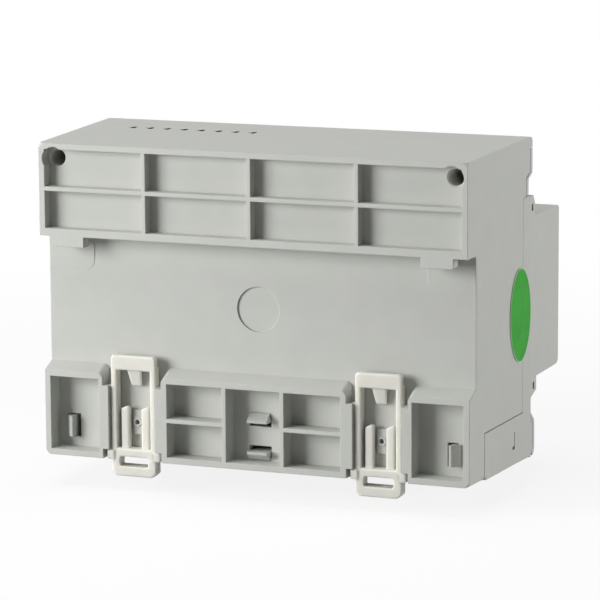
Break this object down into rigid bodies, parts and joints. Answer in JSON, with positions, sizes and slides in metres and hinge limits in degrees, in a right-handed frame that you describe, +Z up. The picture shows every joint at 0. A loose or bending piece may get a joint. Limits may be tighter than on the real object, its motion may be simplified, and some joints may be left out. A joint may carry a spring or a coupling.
{
  "type": "din rail energy meter",
  "caption": "Flat-backed modular electricity meter case that hooks over a mounting rail and is held by sliding clips, with screw terminals along both ends.",
  "frame": {"origin": "middle of the flat rear face that bears on the mounting rail, halfway along the case and halfway between the rail's two edges", "axes": "+X to the right for someone who faces the display, +Y straight back into the rail and the wall, +Z up"},
  "size_m": [0.1262, 0.074, 0.0926],
  "materials": {
    "plastic_grey": "fine spark-eroded texture, light warm grey",
    "clip_white": "smooth, off-white",
    "cover_grey": "smooth, cool light grey",
    "sticker_green": "printed label, satin",
    "window_clear": "clear moulded pane",
    "lcd_glass": "reflective display glass",
    "backlight": "white light guide",
    "circuit_board": "green solder mask",
    "black_plastic": "moulded black",
    "terminal_grey": "glass-filled, light grey",
    "zinc_steel": "zinc plated",
    "copper": "bare copper strip",
    "aux_green": "green terminal body",
    "button_grey": "dark grey key",
    "led_red": "tinted lens",
    "battery_sleeve": "shrink sleeve",
    "transformer_tape": "tape and varnish"
  },
  "bodies": {
    "case": {"rear_housing": "plastic_grey", "front_housing": "plastic_grey", "upper_terminal_cover": "cover_grey", "lower_terminal_cover": "cover_grey", "inspection_sticker": "sticker_green", "display_window": "window_clear", "lcd_panel": "lcd_glass", "lcd_backlight": "backlight", "display_board": "circuit_board", "main_board": "circuit_board", "board_connector": "black_plastic", "lower_terminal_block": "terminal_grey", "aux_terminal_block": "aux_green", "supply_transformer": "transformer_tape", "backup_battery": "battery_sleeve", "pulse_led": "led_red", "tact_switch_1": "black_plastic", "tact_switch_2": "black_plastic", "housing_screw_left": "zinc_steel", "housing_screw_right": "zinc_steel", "terminal_cage_1": "zinc_steel", "terminal_screw_1": "zinc_steel", "aux_screw_1": "zinc_steel", "terminal_cage_2": "zinc_steel", "terminal_screw_2": "zinc_steel", "aux_screw_2": "zinc_steel", "terminal_cage_3": "zinc_steel", "terminal_screw_3": "zinc_steel", "aux_screw_3": "zinc_steel", "terminal_cage_4": "zinc_steel", "terminal_screw_4": "zinc_steel", "aux_screw_4": "zinc_steel", "terminal_cage_5": "zinc_steel", "terminal_screw_5": "zinc_steel", "aux_screw_5": "zinc_steel", "terminal_cage_6": "zinc_steel", "terminal_screw_6": "zinc_steel", "aux_screw_6": "zinc_steel", "terminal_cage_7": "zinc_steel", "terminal_screw_7": "zinc_steel", "aux_screw_7": "zinc_steel", "terminal_cage_8": "zinc_steel", "terminal_screw_8": "zinc_steel", "aux_screw_8": "zinc_steel", "board_screw_1": "zinc_steel", "board_screw_2": "zinc_steel", "board_screw_3": "zinc_steel", "board_screw_4": "zinc_steel", "busbar_l1": "copper", "busbar_l2": "copper", "busbar_l3": "copper", "busbar_n": "copper", "current_transformer_1": "black_plastic", "current_transformer_2": "black_plastic", "current_transformer_3": "black_plastic"},
    "clip_left": {"rail_clip_left": "clip_white"},
    "clip_right": {"rail_clip_right": "clip_white"},
    "key_upper": {"push_button_1": "button_grey"},
    "key_lower": {"push_button_2": "button_grey"}
  },
  "joints": [
    {"name": "clip_left_slide", "type": "slide", "parent": "case", "child": "clip_left", "axis": [0, 0, -1], "range_m": [0, 0.004]},
    {"name": "clip_right_slide", "type": "slide", "parent": "case", "child": "clip_right", "axis": [0, 0, -1], "range_m": [0, 0.004]},
    {"name": "key_upper_press", "type": "slide", "parent": "case", "child": "key_upper", "axis": [0, 1, 0], "range_m": [0, 0.0005], "stiffness_N_per_m": 300, "springref_m": -0.0005},
    {"name": "key_lower_press", "type": "slide", "parent": "case", "child": "key_lower", "axis": [0, 1, 0], "range_m": [0, 0.0005], "stiffness_N_per_m": 300, "springref_m": -0.0005}
  ]
}
